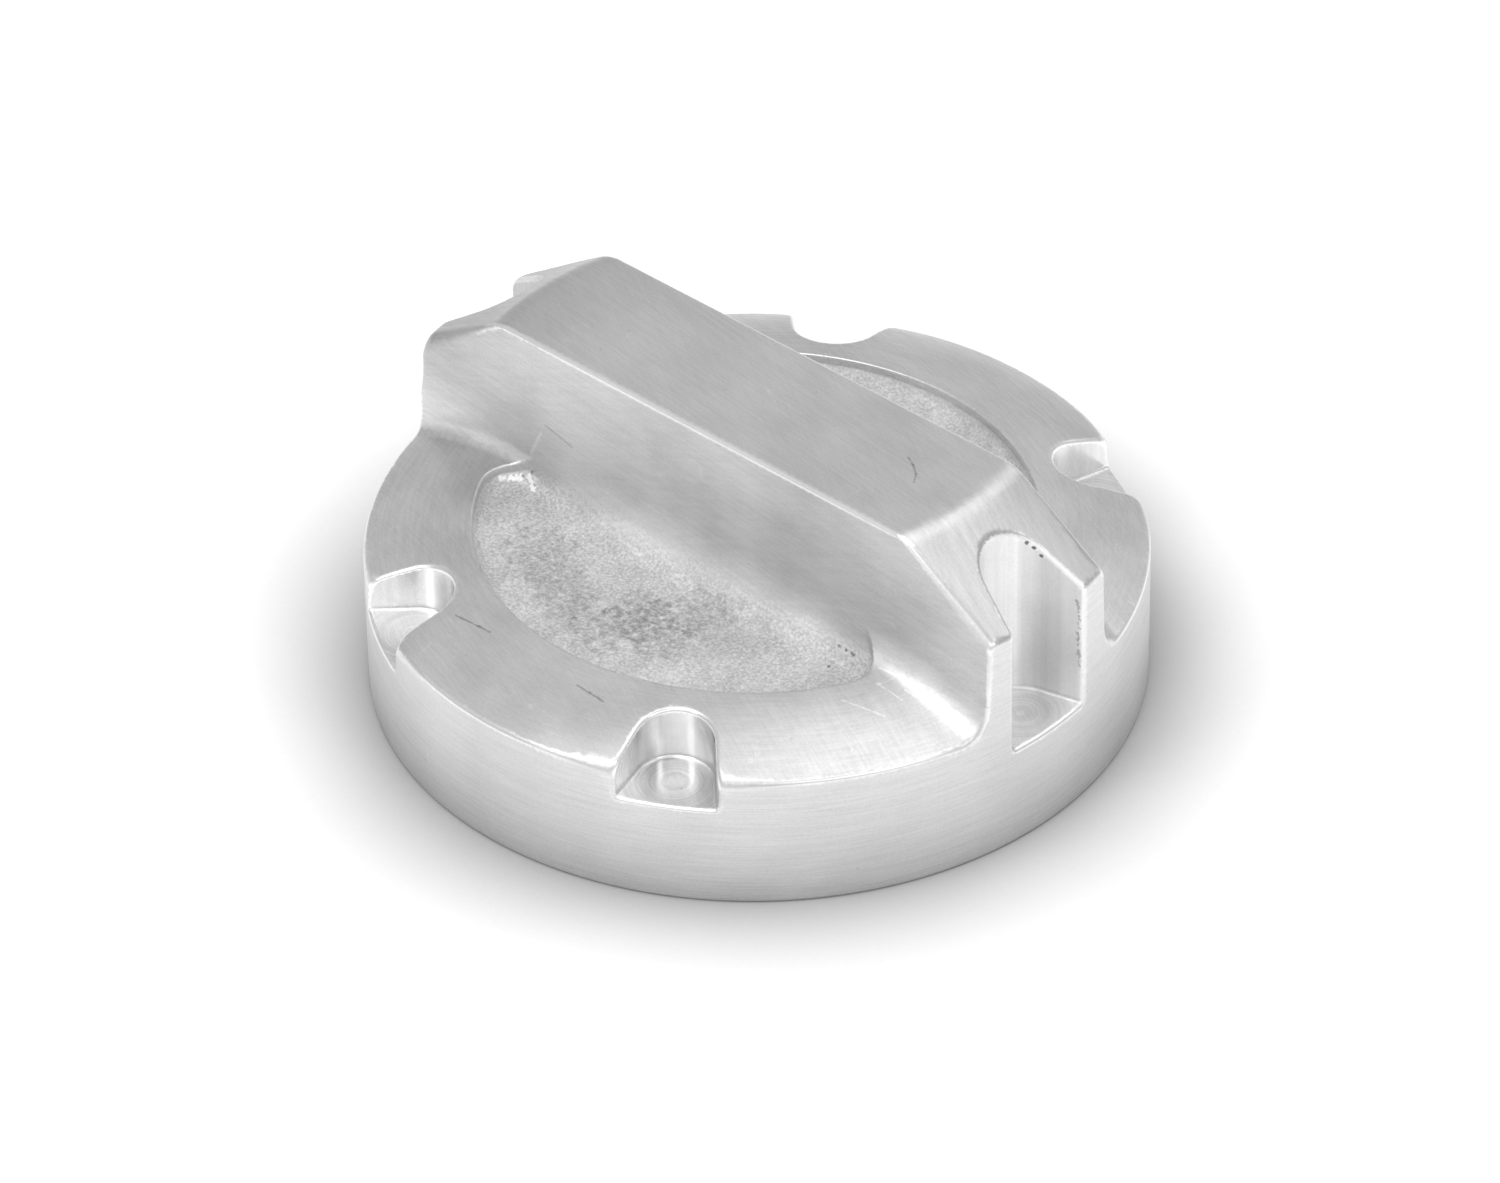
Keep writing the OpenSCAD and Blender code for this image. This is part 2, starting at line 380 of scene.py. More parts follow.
def triangle_edges(triangles):
    """Edges without repeats, and the three edge numbers of each triangle."""
    pairs = np.concatenate([triangles[:, [0, 1]], triangles[:, [1, 2]], triangles[:, [2, 0]]])
    pairs.sort(1)
    most = 1 << 31
    keys, which = np.unique(pairs[:, 0].astype(np.int64) * most + pairs[:, 1], return_inverse=True)
    return np.stack([keys // most, keys % most], 1), which.reshape(3, -1).T


def slide(distance, points, triangles, rounds, share):
    """Evens the mesh out by moving its points along the surface."""
    edges, _ = triangle_edges(triangles)
    for _ in range(rounds):
        total = np.zeros_like(points)
        count = np.zeros(len(points))
        for near, far in ((0, 1), (1, 0)):
            for k in range(3):
                total[:, k] += np.bincount(edges[:, near], points[edges[:, far], k], len(points))
            count += np.bincount(edges[:, near], minlength=len(points))
        move = total / np.maximum(count, 1)[:, None] - points
        normal = unit(gradient(distance, points))
        move -= normal * (move * normal).sum(1)[:, None]
        points = onto_surface(distance, points + share * move, 1)
    return points


def split_bends(distance, points, triangles, bend, shortest):
    """Halves the edges over which the surface turns by more than a bend, down to a length."""
    normal = unit(gradient(distance, points, 0.015))
    edges, of_triangle = triangle_edges(triangles)
    a, b = edges[:, 0], edges[:, 1]
    middle = (points[a] + points[b]) / 2
    length = np.linalg.norm(points[a] - points[b], axis=1)
    in_socket = np.hypot(middle[:, 0], middle[:, 1]) < THREAD_MAJOR_R + 0.7
    hidden = in_socket & (middle[:, 2] < GROOVE_CEILING_H + 0.2)
    floor = np.where(hidden, np.maximum(shortest, 0.36), shortest)
    turned = (normal[a] * normal[b]).sum(1) < math.cos(bend)
    marked = turned & (length > floor)
    lengths = length[of_triangle]
    first = lengths.argmax(1)
    row = np.arange(len(triangles))
    longest = of_triangle[row, first]
    while True:
        grown = marked.copy()
        grown[longest[marked[of_triangle].any(1)]] = True
        if (grown == marked).all():
            break
        marked = grown
    midpoint = -np.ones(len(edges), int)
    midpoint[marked] = len(points) + np.arange(marked.sum())
    points = np.concatenate([points, onto_surface(distance, middle[marked])])
    corner = [triangles[row, (first + k) % 3] for k in range(3)]
    between = [midpoint[of_triangle[row, (first + k) % 3]] for k in range(3)]
    split = between[0] >= 0
    kept = [triangles[~split]]
    for part, tip, far in ((between[2], corner[0], corner[2]), (between[1], corner[2], corner[1])):
        whole = split & (part < 0)
        cut = split & (part >= 0)
        start = (tip, between[0], far) if part is between[2] else (between[0], far, tip)
        kept.append(np.stack([v[whole] for v in start], 1))
        if part is between[2]:
            pair = ((corner[0], between[0], part), (part, between[0], corner[2]))
        else:
            pair = ((between[0], corner[1], part), (between[0], part, corner[2]))
        kept += [np.stack([v[cut] for v in three], 1) for three in pair]
    return points, np.concatenate(kept)


def cap_mesh():
    """Points in millimetres and triangles of the cap, finest along its edges."""
    margin = 0.85
    low = (-CAP_R - margin, -CAP_R - margin, -margin)
    high = (CAP_R + margin, CAP_R + margin, CAP_H + margin)
    coarse_step = 0.8
    points, triangles = grid_mesh(cap_distance, low, high, coarse_step)
    points = onto_surface(cap_distance, points)
    points = slide(cap_distance, points, triangles, 4, 0.5)
    for bend, shortest in ((32, 0.5), (28, 0.3), (26, 0.2), (26, 0.14)):
        points, triangles = split_bends(
            cap_distance, points, triangles, math.radians(bend), shortest
        )
        points = slide(cap_distance, points, triangles, 2, 0.35)
    return onto_surface(cap_distance, points), triangles


def seen_at(pixels):
    """Points in millimetres where the views through pixels of the photograph meet the cap."""
    place, right, up, back = camera_axes()
    focal = CAMERA_LENS / SENSOR_WIDTH * PHOTO_W
    pixels = np.array(pixels, float)
    across = (pixels[:, 0] - PHOTO_W / 2 - AIM_RIGHT) / focal
    above = (PHOTO_H / 2 - pixels[:, 1] - AIM_UP) / focal
    sight = unit(across[:, None] * right + above[:, None] * up - back)
    points = place + (CAMERA_DISTANCE - 2 * CAP_R) * sight
    for _ in range(SIGHT_STEPS):
        points = points + SIGHT_SHARE * cap_distance(points)[:, None] * sight
    return points


# Finish of each stretch of the surface, by the order of the cap's material slots
FINISHES = [
    "turned_skirt", "sanded_deck", "sanded_bar_top", "milled_wall", "milled_notch",
    "notch_floor", "turned_underside",
]


def finish_of(p):
    """Number of the finish at each point."""
    s = surfaces(p)
    z = p[:, 2]
    near = np.stack([
        np.abs(s["skirt"]),
        np.abs(s["deck"]),
        np.minimum(np.abs(s["bar_top"]), np.abs(s["bar_end"])),
        np.minimum(np.abs(s["wall"]), np.abs(s["pocket_side"])),
        np.abs(s["notch_side"]) + 10 * (z < NOTCH_FLOOR_H - 0.1),
        np.abs(s["notch_floor"]) + 10 * (s["notch_side"] > 0.1),
        np.minimum(np.abs(s["rim"]), np.abs(s["socket"])),
    ])
    finish = near.argmin(0)
    in_pocket = (s["pocket_side"] < -0.1) & (z > POCKET_FLOOR_H - 0.5) & (z < CROWN_H + 3)
    finish[in_pocket] = FINISHES.index("milled_wall")
    return finish


def make_cap():
    """The cap's body, with the masks that its finishes use stored on its points."""
    points, triangles = cap_mesh()
    mesh = bpy.data.meshes.new("cap")
    mesh.from_pydata((points * MM).tolist(), [], triangles.tolist())
    mesh.polygons.foreach_set("use_smooth", np.ones(len(triangles), bool))
    mesh.polygons.foreach_set("material_index", finish_of(points[triangles].mean(1)))
    reach = 0.05
    bending = -6 * cap_distance(points)
    for i in range(3):
        aside = np.zeros(3)
        aside[i] = reach
        bending += cap_distance(points + aside) + cap_distance(points - aside)
    bending /= reach * reach
    soft_bend, sharp_bend = 2.0, 3.4
    s = surfaces(points)
    normals = unit(gradient(cap_distance, points, 0.015))
    in_pocket = ease(0.3, -0.4, s["pocket_side"])
    at_pocket = np.maximum(ease(0.5, 0.2, np.abs(s["pocket_side"])), points[:, 2] < SOCKET_DEPTH)
    # Painted shade on the bar's ends: the -X end and the +X slope get a lower tone, standing in for
    # dimmer light there
    end_slope = ease(0.3, 0.5, np.abs(normals[:, 0])) * ease(0.4, 0.6, normals[:, 2])
    in_notch = s["notch_side"] < NOTCH_EDGE_ROUND
    far_end = ease(12, 27, -points[:, 0]) * (0.6 + 0.4 * np.maximum(end_slope, in_notch))
    near_end = 0.43 * end_slope * ease(18, 22, points[:, 0])
    on_bar = ease(CROWN_H + 0.5, CROWN_H + 5, points[:, 2])
    masks = {
        "edge": ease(soft_bend, sharp_bend, bending) * (1 - 0.6 * at_pocket),
        # Painted shade in concave bends
        "crevice_shade": ease(soft_bend, sharp_bend, -bending),
        "grit": in_pocket * (1 - ease(POCKET_FLOOR_H + 0.2, POCKET_FLOOR_H + 2.6, points[:, 2])),
        "notch_reach": s["notch_reach"],
        "painted_end_shade": np.maximum(far_end, near_end) * on_bar,
        "bar_notch": ease(9, 7, np.abs(points[:, 1])),
    }
    for name, values in masks.items():
        attribute = mesh.attributes.new(name, "FLOAT", "POINT")
        attribute.data.foreach_set("value", values.astype(np.float32))
    mesh.update()
    mesh.normals_split_custom_set_from_vertices(normals.tolist())
    cap = bpy.data.objects.new("cap", mesh)
    bpy.context.scene.collection.objects.link(cap)
    return cap


# Materials


def add_node(tree, kind, links=None, **settings):
    """A node with its settings, and its inputs set to a value or linked to a socket."""
    made = tree.nodes.new(kind)
    for name, value in settings.items():
        setattr(made, name, value)
    for socket, value in (links or {}).items():
        if isinstance(value, bpy.types.NodeSocket):
            tree.links.new(value, made.inputs[socket])
        else:
            made.inputs[socket].default_value = value
    return made


def calc(tree, operation, a, b=0.0, c=0.0, clamp=False):
    links = {0: a, 1: b, 2: c}
    made = add_node(tree, "ShaderNodeMath", links, operation=operation, use_clamp=clamp)
    return made.outputs[0]


def calc_vector(tree, operation, a, b=(0.0, 0.0, 0.0), out="Vector"):
    made = add_node(tree, "ShaderNodeVectorMath", {0: a, 1: b}, operation=operation)
    return made.outputs[out]


def spread(tree, value, low, high, to_low=0.0, to_high=1.0):
    links = {"Value": value, "From Min": low, "From Max": high, "To Min": to_low, "To Max": to_high}
    return add_node(tree, "ShaderNodeMapRange", links, interpolation_type="SMOOTHSTEP").outputs[0]


def place_mm(tree, scale=1000.0):
    """Place on the cap in millimetres, or in another scale."""
    place = add_node(tree, "ShaderNodeTexCoord").outputs["Object"]
    return calc_vector(tree, "MULTIPLY", place, (scale, scale, scale))


def new_group(name, takes, gives):
    tree = bpy.data.node_groups.new(name, "ShaderNodeTree")
    for label, kind, value in takes:
        socket = tree.interface.new_socket(label, in_out="INPUT", socket_type=kind)
        socket.default_value = value
    for label in gives:
        tree.interface.new_socket(label, in_out="OUTPUT", socket_type="NodeSocketFloat")
    start = tree.nodes.new("NodeGroupInput").outputs
    end = tree.nodes.new("NodeGroupOutput").inputs
    return tree, start, end


def use_group(tree, group, **values):
    made = add_node(tree, "ShaderNodeGroup", node_tree=group)
    for label, value in values.items():
        socket = made.inputs[label.replace("_", " ")]
        if isinstance(value, bpy.types.NodeSocket):
            tree.links.new(value, socket)
        else:
            socket.default_value = value
    return made.outputs


def brush_lines_group():
    """Fine lines that run where the number across them stays the same."""
    takes = [
        ("Across", "NodeSocketFloat", 0.0),
        ("Fineness", "NodeSocketFloat", 3.0),
        ("Run", "NodeSocketFloat", 20.0),
    ]
    tree, start, end = new_group("brush_lines", takes, ["Lines"])
    shrink = calc(tree, "DIVIDE", start["Fineness"], start["Run"])
    place = place_mm(tree)
    along = add_node(tree, "ShaderNodeVectorMath", {0: place, 3: shrink}, operation="SCALE")
    links = {
        "Vector": along.outputs[0],
        "W": calc(tree, "MULTIPLY", start["Across"], start["Fineness"]),
        "Scale": 1.0, "Detail": 3.0, "Roughness": 0.65,
    }
    noise = add_node(tree, "ShaderNodeTexNoise", links, noise_dimensions="4D")
    tree.links.new(spread(tree, noise.outputs[0], 0.28, 0.72), end["Lines"])
    return tree


def edge_wear_group():
    """Bare bright metal along the convex edges, broken up a little."""
    takes = [("Amount", "NodeSocketFloat", 1.0), ("Patchiness", "NodeSocketFloat", 0.5)]
    tree, start, end = new_group("edge_wear", takes, ["Mask"])
    edge = add_node(tree, "ShaderNodeAttribute", attribute_name="edge").outputs["Fac"]
    links = {"Vector": place_mm(tree), "Scale": 0.9, "Detail": 3.0}
    patches = add_node(tree, "ShaderNodeTexNoise", links).outputs[0]
    kept = calc(tree, "SUBTRACT", 1.0, calc(tree, "MULTIPLY", start["Patchiness"], patches))
    mask = calc(tree, "MULTIPLY", calc(tree, "MULTIPLY", edge, kept), start["Amount"], clamp=True)
    tree.links.new(mask, end["Mask"])
    return tree


def stray_marks_group():
    """Stray hair scratches and small dark pits."""
    takes = [("Scratchiness", "NodeSocketFloat", 0.5), ("Pitting", "NodeSocketFloat", 0.5)]
    tree, start, end = new_group("stray_marks", takes, ["Scratches", "Pits"])
    place = place_mm(tree)
    squeezed = calc_vector(tree, "MULTIPLY", place, (0.16, 0.5, 0.3))
    links = {"Vector": squeezed, "Scale": 1.0, "Detail": 2.0, "Distortion": 0.6}
    noise = add_node(tree, "ShaderNodeTexNoise", links).outputs[0]
    off = calc(tree, "ABSOLUTE", calc(tree, "SUBTRACT", noise, 0.5))
    hair = spread(tree, off, 0.0, 0.006, 1.0, 0.0)
    links = {"Vector": place, "Scale": 0.35, "Detail": 2.0}
    where = spread(tree, add_node(tree, "ShaderNodeTexNoise", links).outputs[0], 0.52, 0.62)
    scratches = calc(tree, "MULTIPLY", calc(tree, "MULTIPLY", hair, where), start["Scratchiness"])
    tree.links.new(scratches, end["Scratches"])
    links = {"Vector": place, "Scale": 0.55}
    cells = add_node(tree, "ShaderNodeTexVoronoi", links)
    pick = add_node(tree, "ShaderNodeSeparateColor", {"Color": cells.outputs["Color"]}).outputs[0]
    size = spread(tree, pick, 0.7, 1.0, 0.0, 0.07)
    pits = spread(tree, calc(tree, "SUBTRACT", cells.outputs["Distance"], size), -0.02, 0.02, 1.0, 0.0)
    some = calc(tree, "GREATER_THAN", pick, 0.72)
    pits = calc(tree, "MULTIPLY", calc(tree, "MULTIPLY", pits, some), start["Pitting"])
    tree.links.new(pits, end["Pits"])
    return tree


def stroke_group():
    """A ragged mark from one point to another, in millimetres."""
    takes = [
        ("From", "NodeSocketVector", (0.0, 0.0, 0.0)),
        ("To", "NodeSocketVector", (0.0, 0.0, 0.0)),
        ("Width", "NodeSocketFloat", 0.2),
        ("Raggedness", "NodeSocketFloat", 0.2),
        ("Ragged Scale", "NodeSocketFloat", 2.0),
    ]
    tree, start, end = new_group("stroke", takes, ["Mask"])
    place = place_mm(tree)
    to_place = calc_vector(tree, "SUBTRACT", place, start["From"])
    to_end = calc_vector(tree, "SUBTRACT", start["To"], start["From"])
    squared = calc(tree, "MAXIMUM", calc_vector(tree, "DOT_PRODUCT", to_end, to_end, "Value"), 1e-6)
    dot = calc_vector(tree, "DOT_PRODUCT", to_place, to_end, "Value")
    share = calc(tree, "DIVIDE", dot, squared, clamp=True)
    nearest = add_node(tree, "ShaderNodeVectorMath", {0: to_end, 3: share}, operation="SCALE").outputs[0]
    gap = calc_vector(tree, "LENGTH", calc_vector(tree, "SUBTRACT", to_place, nearest), out="Value")
    links = {"Vector": place, "Scale": start["Ragged Scale"], "Detail": 3.0}
    noise = add_node(tree, "ShaderNodeTexNoise", links).outputs[0]
    ragged = calc(tree, "MULTIPLY", calc(tree, "SUBTRACT", noise, 0.5), start["Raggedness"])
    reached = calc(tree, "DIVIDE", calc(tree, "ADD", gap, ragged), start["Width"])
    tree.links.new(spread(tree, reached, 0.25, 0.5, 1.0, 0.0), end["Mask"])
    return tree


def grit_group():
    """Grain of the blasted pocket floors: its height and its tone."""
    takes = [("Coarseness", "NodeSocketFloat", 1.0)]
    tree, start, end = new_group("blasted_grain", takes, ["Height", "Tone"])
    place = place_mm(tree)
    scale = calc(tree, "DIVIDE", 4.5, start["Coarseness"])
    links = {"Vector": place, "Scale": scale, "Detail": 4.0, "Roughness": 0.6}
    grain = add_node(tree, "ShaderNodeTexNoise", links).outputs[0]
    links = {"Vector": place, "Scale": calc(tree, "MULTIPLY", scale, 1.3)}
    cells = add_node(tree, "ShaderNodeTexVoronoi", links).outputs["Distance"]
    height = calc(tree, "ADD", calc(tree, "MULTIPLY", grain, 0.6), calc(tree, "MULTIPLY", cells, 0.4))
    tree.links.new(height, end["Height"])
    tree.links.new(spread(tree, grain, 0.3, 0.7), end["Tone"])
    return tree


def tone_drift_group():
    """Slow clouds and a fine grain in the tone of the metal."""
    takes = [("Clouds", "NodeSocketFloat", 0.05)]
    tree, start, end = new_group("tone_drift", takes, ["Cloud", "Grain"])
    place = place_mm(tree)
    links = {"Vector": place, "Scale": 0.14, "Detail": 3.0}
    slow = spread(tree, add_node(tree, "ShaderNodeTexNoise", links).outputs[0], 0.25, 0.75, -1.0, 1.0)
    tree.links.new(calc(tree, "MULTIPLY", slow, start["Clouds"]), end["Cloud"])
    links = {"Vector": place, "Scale": 5.0, "Detail": 2.0}
    fine = add_node(tree, "ShaderNodeTexNoise", links).outputs[0]
    tree.links.new(spread(tree, fine, 0.3, 0.7, -0.02, 0.02), end["Grain"])
    return tree


def painted_shade_group():
    """Paints shade into the metal: a little darker in crevices, and darker on the bar's ends, as painted
    shade.
    """
    takes = [
        ("Tone", "NodeSocketFloat", 0.6),
        ("Crevice Shade Loss", "NodeSocketFloat", 0.12),
        ("End Shade Loss", "NodeSocketFloat", 0.36),
    ]
    tree, start, end = new_group("painted_shade_tone", takes, ["Tone"])
    tone = start["Tone"]
    for mask_name, loss in (("crevice_shade", start["Crevice Shade Loss"]), ("painted_end_shade", start["End Shade Loss"])):
        mask = add_node(tree, "ShaderNodeAttribute", attribute_name=mask_name).outputs["Fac"]
        kept = calc(tree, "SUBTRACT", 1.0, calc(tree, "MULTIPLY", mask, loss))
        tone = calc(tree, "MULTIPLY", tone, kept)
    tree.links.new(tone, end["Tone"])
    return tree


GROUPS = {
    "lines": brush_lines_group(),
    "edges": edge_wear_group(),
    "marks": stray_marks_group(),
    "stroke": stroke_group(),
    "grit": grit_group(),
    "drift": tone_drift_group(),
    "painted_shade": painted_shade_group(),
}

# Tones of the bare metal; the bright one is also the tone of the painted highlights
BRIGHT_WEAR_AND_HIGHLIGHT = 0.93
DARK_MARK = 0.1
# How much rougher the two notches in the bar's ends are
BAR_NOTCH_ROUGHER = 0.2
# Height in metres of a relief of one
BUMP_HEIGHT = 4e-6


def blend_to(tree, value, target, share):
    """value, moved towards a target by a share."""
    return calc(tree, "MULTIPLY_ADD", calc(tree, "SUBTRACT", target, value), share, value)


def across_of(tree, direction):
    """Number in millimetres that changes across lines: a direction, or the radius."""
    place = place_mm(tree)
    if direction == "radius":
        flat = calc_vector(tree, "MULTIPLY", place, (1.0, 1.0, 0.0))
        return calc_vector(tree, "LENGTH", flat, out="Value")
    return calc_vector(tree, "DOT_PRODUCT", place, direction, "Value")


def metal(name, tone, roughness, lines, wear=0.8, scratches=0.3, pits=0.4, clouds=0.06, relief=1.0):
    """A metal finish. lines are (direction across them, fineness, run, strength)."""
    material = bpy.data.materials.new(name)
    material.use_nodes = True
    tree = material.node_tree
    tree.nodes.clear()
    out = add_node(tree, "ShaderNodeOutputMaterial")
    shader = add_node(tree, "ShaderNodeBsdfPrincipled", {"Metallic": 1.0})
    tree.links.new(shader.outputs[0], out.inputs[0])
    drift = use_group(tree, GROUPS["drift"], Clouds=clouds)
    value = calc(tree, "ADD", calc(tree, "ADD", tone, drift["Cloud"]), drift["Grain"])
    height = None
    rough = calc(tree, "MULTIPLY_ADD", drift["Cloud"], 0.8, roughness)
    for direction, fineness, run, strength in lines:
        found = use_group(
            tree, GROUPS["lines"], Across=across_of(tree, direction), Fineness=fineness, Run=run
        )["Lines"]
        centred = calc(tree, "MULTIPLY", calc(tree, "SUBTRACT", found, 0.5), strength)
        value = calc(tree, "ADD", value, centred)
        rough = calc(tree, "SUBTRACT", rough, calc(tree, "MULTIPLY", centred, 0.7))
        raised = calc(tree, "MULTIPLY", found, strength * 5)
        height = raised if height is None else calc(tree, "ADD", height, raised)
    found = use_group(tree, GROUPS["marks"], Scratchiness=scratches, Pitting=pits)
    value = blend_to(tree, value, BRIGHT_WEAR_AND_HIGHLIGHT, calc(tree, "MULTIPLY", found["Scratches"], 0.5))
    value = blend_to(tree, value, DARK_MARK, found["Pits"])
    height = calc(tree, "SUBTRACT", height, found["Scratches"])
    # Painted shade in crevices and on the bar's ends
    value = use_group(tree, GROUPS["painted_shade"], Tone=value)["Tone"]
    worn = use_group(tree, GROUPS["edges"], Amount=wear, Patchiness=0.4)["Mask"]
    value = blend_to(tree, value, BRIGHT_WEAR_AND_HIGHLIGHT, worn)
    rough = blend_to(tree, rough, 0.22, worn)
    return {"tree": tree, "shader": shader, "value": value, "rough": rough, "height": height,
            "relief": relief, "material": material}


def finish_metal(m):
    """Links what a metal's nodes came to into its shader."""
    tree, shader = m["tree"], m["shader"]
    tree.links.new(calc(tree, "MAXIMUM", m["value"], 0.02), shader.inputs["Base Color"])
    tree.links.new(calc(tree, "MAXIMUM", m["rough"], 0.08), shader.inputs["Roughness"])
    links = {"Height": m["height"], "Strength": 1.0, "Distance": BUMP_HEIGHT * m["relief"]}
    bump = add_node(tree, "ShaderNodeBump", links)
    tree.links.new(bump.outputs[0], shader.inputs["Normal"])
    return m["material"]


def strokes(m, marks, width, ragged=0.25, scale=2.5, tone=DARK_MARK, depth=0.85, within=None):
    """Adds ragged marks, each from one place to another, and within a mask where one is given."""
    tree = m["tree"]
    starts = seen_at([mark[0] for mark in marks])
    ends = seen_at([mark[1] for mark in marks])
    for start, end in zip(starts, ends):
        mask = use_group(
            tree, GROUPS["stroke"], From=tuple(start), To=tuple(end), Width=width,
            Raggedness=ragged, Ragged_Scale=scale,
        )["Mask"]
        if within is not None:
            mask = calc(tree, "MULTIPLY", mask, within)
        m["value"] = blend_to(tree, m["value"], tone, calc(tree, "MULTIPLY", mask, depth))


# Marks on this cap, and painted highlights, by where the photograph shows them, in its pixels
DECK_CRACKS = [((455, 615), (478, 626)), ((478, 626), (490, 632)), ((577, 685), (604, 702))]
DECK_SCRATCHES = [
    ((868, 655), (905, 668)), ((880, 668), (925, 690)), ((892, 650), (930, 662)),
    ((905, 690), (940, 712)), ((858, 674), (880, 684)), ((842, 700), (884, 716)),
    ((872, 652), (888, 654)), ((876, 683), (902, 700)), ((920, 676), (952, 694)),
]
TOP_SCRATCH = [((908, 457), (913, 465)), ((913, 465), (916, 474)), ((916, 474), (914, 482))]
POCKET_STAINS = [((598, 632), (705, 612)), ((640, 612), (660, 640)), ((536, 545), (566, 600))]
POCKET_SPECKS = [
    (839, 646), (846, 650), (852, 653), (854, 655), (829, 667), (523, 476), (532, 472),
]
# Painted highlights: glints at the foot of the left pocket corner
POCKET_GLINTS = [((500, 478), (503, 478)), ((510, 478), (521, 477)), ((529, 476), (533, 490))]
WALL_STREAK = [((545, 425), (572, 447))]
# Painted highlight along the edge of a small step in the wall
WALL_STEP_HIGHLIGHT = [((531, 453), (541, 433))]
NOTCH_PITS = [(1027, 543), (1034, 548), (1041, 556)]
NOTCH_EDGE_WEAR = [((1078, 602), (1079, 628)), ((1078, 634), (1079, 666))]


def dots(pixels):
    return [(pixel, pixel) for pixel in pixels]


def skirt_finish():
    lines = [((0, 0, 1), 9.0, 45, 0.08), ((0, 0, 1), 2.0, 20, 0.03)]
    m = metal("turned_skirt", 0.68, 0.36, lines, wear=0.6, pits=0.15, clouds=0.025)
    return finish_metal(m)


def deck_finish():
    lines = [("radius", 4.5, 14, 0.07), ((0.35, 0.94, 0), 5.0, 18, 0.06)]
    m = metal("sanded_deck", 0.62, 0.38, lines, scratches=0.6, pits=0.15, clouds=0.04)
    strokes(m, DECK_CRACKS, 0.22, depth=0.45)
    strokes(m, DECK_SCRATCHES, 0.2, ragged=0.3, tone=BRIGHT_WEAR_AND_HIGHLIGHT, depth=0.45)
    return finish_metal(m)


def bar_top_finish():
    lines = [((0.12, 0.99, 0), 5.0, 30, 0.07), ((0.5, 0.86, 0), 3.0, 12, 0.04)]
    m = metal("sanded_bar_top", 0.62, 0.36, lines, scratches=0.6, pits=0.2, clouds=0.03)
    strokes(m, TOP_SCRATCH, 0.2, depth=0.4)
    return finish_metal(m)


def wall_finish():
    """The bar's walls and the pockets below them, whose floors are rough and stained."""
    lines = [((0.1, 0, 0.99), 5.0, 24, 0.06), ((-0.35, 0, 0.94), 3.0, 12, 0.04)]
    m = metal("milled_wall", 0.66, 0.5, lines, scratches=0.5, pits=0.1)
    tree = m["tree"]
    grit = add_node(tree, "ShaderNodeAttribute", attribute_name="grit").outputs["Fac"]
    grain = use_group(tree, GROUPS["grit"], Coarseness=1.0)
    sand = calc(tree, "MULTIPLY", calc(tree, "SUBTRACT", grain["Tone"], 0.5), 0.22)
    m["value"] = calc(tree, "MULTIPLY_ADD", sand, grit, m["value"])
    m["rough"] = calc(tree, "MULTIPLY_ADD", grit, 0.3, m["rough"])
    tall = calc(tree, "MULTIPLY", calc(tree, "MULTIPLY", grain["Height"], grit), 6.0)
    m["height"] = calc(tree, "ADD", m["height"], tall)
    spots = use_group(tree, GROUPS["grit"], Coarseness=2.2)["Tone"]
    strokes(m, POCKET_STAINS, 6.0, 6.0, 0.9, depth=0.3, within=spots)
    strokes(m, dots(POCKET_SPECKS), 0.38, 0.2, 4.0, depth=0.55)
    # Painted highlights at the pocket's corner nook
    strokes(m, POCKET_GLINTS, 0.55, 0.7, 4.0, tone=BRIGHT_WEAR_AND_HIGHLIGHT, depth=0.85)
    strokes(m, WALL_STREAK, 0.25, 0.15, depth=0.25)
    # Painted highlight of the wall's small step
    strokes(m, WALL_STEP_HIGHLIGHT, 0.4, 0.2, tone=BRIGHT_WEAR_AND_HIGHLIGHT, depth=0.3)
    return finish_metal(m)


def notch_finish():
    """Walls milled bright by the side of the cutter, with upright chatter marks. Those of the
    two notches in the bar's ends are duller."""
    lines = [((0.8, 0.6, 0), 1.1, 80, 0.10), ((-0.6, 0.8, 0), 1.6, 80, 0.08)]
    m = metal("milled_notch", 0.82, 0.25, lines, wear=0.6, scratches=0.2, pits=0.2, relief=2.0)
    strokes(m, dots(NOTCH_PITS), 0.42, 0.3, 4.0, depth=0.85)
    strokes(m, NOTCH_EDGE_WEAR, 0.26, 0.9, 3.0, depth=0.4)
    soft = add_node(m["tree"], "ShaderNodeAttribute", attribute_name="bar_notch").outputs["Fac"]
    m["rough"] = calc(m["tree"], "MULTIPLY_ADD", soft, BAR_NOTCH_ROUGHER, m["rough"])
    return finish_metal(m)


def notch_floor_finish():
    """Floors with the arcs that the end of the cutter left."""
    lines = [((0.5, 0.86, 0), 3.0, 10, 0.05)]
    m = metal("notch_floor", 0.7, 0.38, lines, wear=0.5, pits=0.2, relief=1.5)
    tree = m["tree"]
    reach = add_node(tree, "ShaderNodeAttribute", attribute_name="notch_reach").outputs["Fac"]
    arcs = use_group(tree, GROUPS["lines"], Across=reach, Fineness=4.0, Run=40.0)["Lines"]
    m["value"] = calc(tree, "MULTIPLY_ADD", calc(tree, "SUBTRACT", arcs, 0.5), 0.16, m["value"])
    m["height"] = calc(tree, "ADD", m["height"], arcs)
    return finish_metal(m)


def underside_finish():
    lines = [("radius", 5.0, 80, 0.08), ((0, 0, 1), 4.0, 80, 0.05)]
    return finish_metal(metal("turned_underside", 0.7, 0.33, lines, wear=0.5, scratches=0.2))


